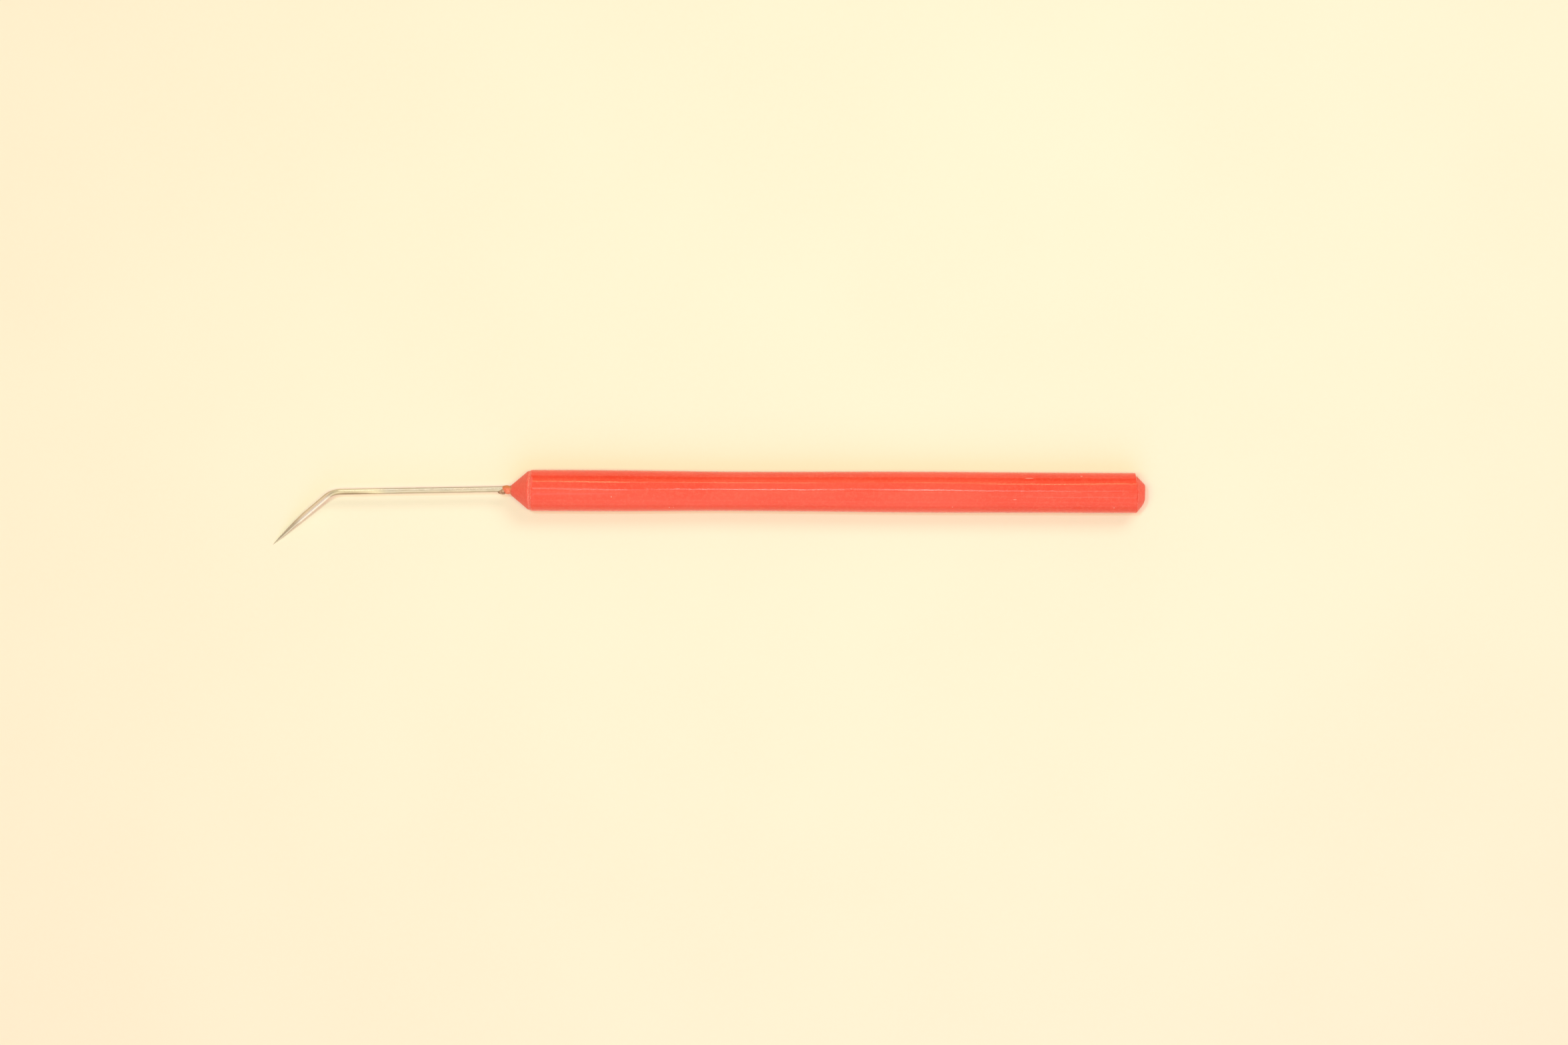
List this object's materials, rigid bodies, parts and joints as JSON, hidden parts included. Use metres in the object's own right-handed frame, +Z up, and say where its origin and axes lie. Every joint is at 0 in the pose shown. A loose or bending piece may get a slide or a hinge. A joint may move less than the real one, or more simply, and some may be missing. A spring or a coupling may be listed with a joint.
{
  "type": "bent needle tool",
  "caption": "Slim round plastic handle with a waist and a coned nose that holds a thin steel needle, cranked near its ground point.",
  "frame": {"origin": "on the surface that the tool lies on, under the middle of its bounding box", "axes": "+X along the handle from the needle to the rear end, +Z up from the surface, the crank of the needle points to -Y"},
  "size_m": [0.1402, 0.0122, 0.0066],
  "materials": {
    "needle_steel": "polished drawn wire with a ground point",
    "brown_residue": "dried glossy drop",
    "amber_resin": "cured, slightly see-through",
    "plug_plastic": "turned, matte",
    "pale_bead": "scuffed and whitened",
    "handle_plastic": "extruded, glossy"
  },
  "bodies": {
    "root": {"needle": "needle_steel", "neck_residue": "brown_residue", "bond_sleeve": "amber_resin", "nose_plug": "plug_plastic", "front_bond_ring": "pale_bead", "handle_tube": "handle_plastic", "rear_bond_ring": "pale_bead", "end_plug": "plug_plastic"}
  },
  "joints": []
}
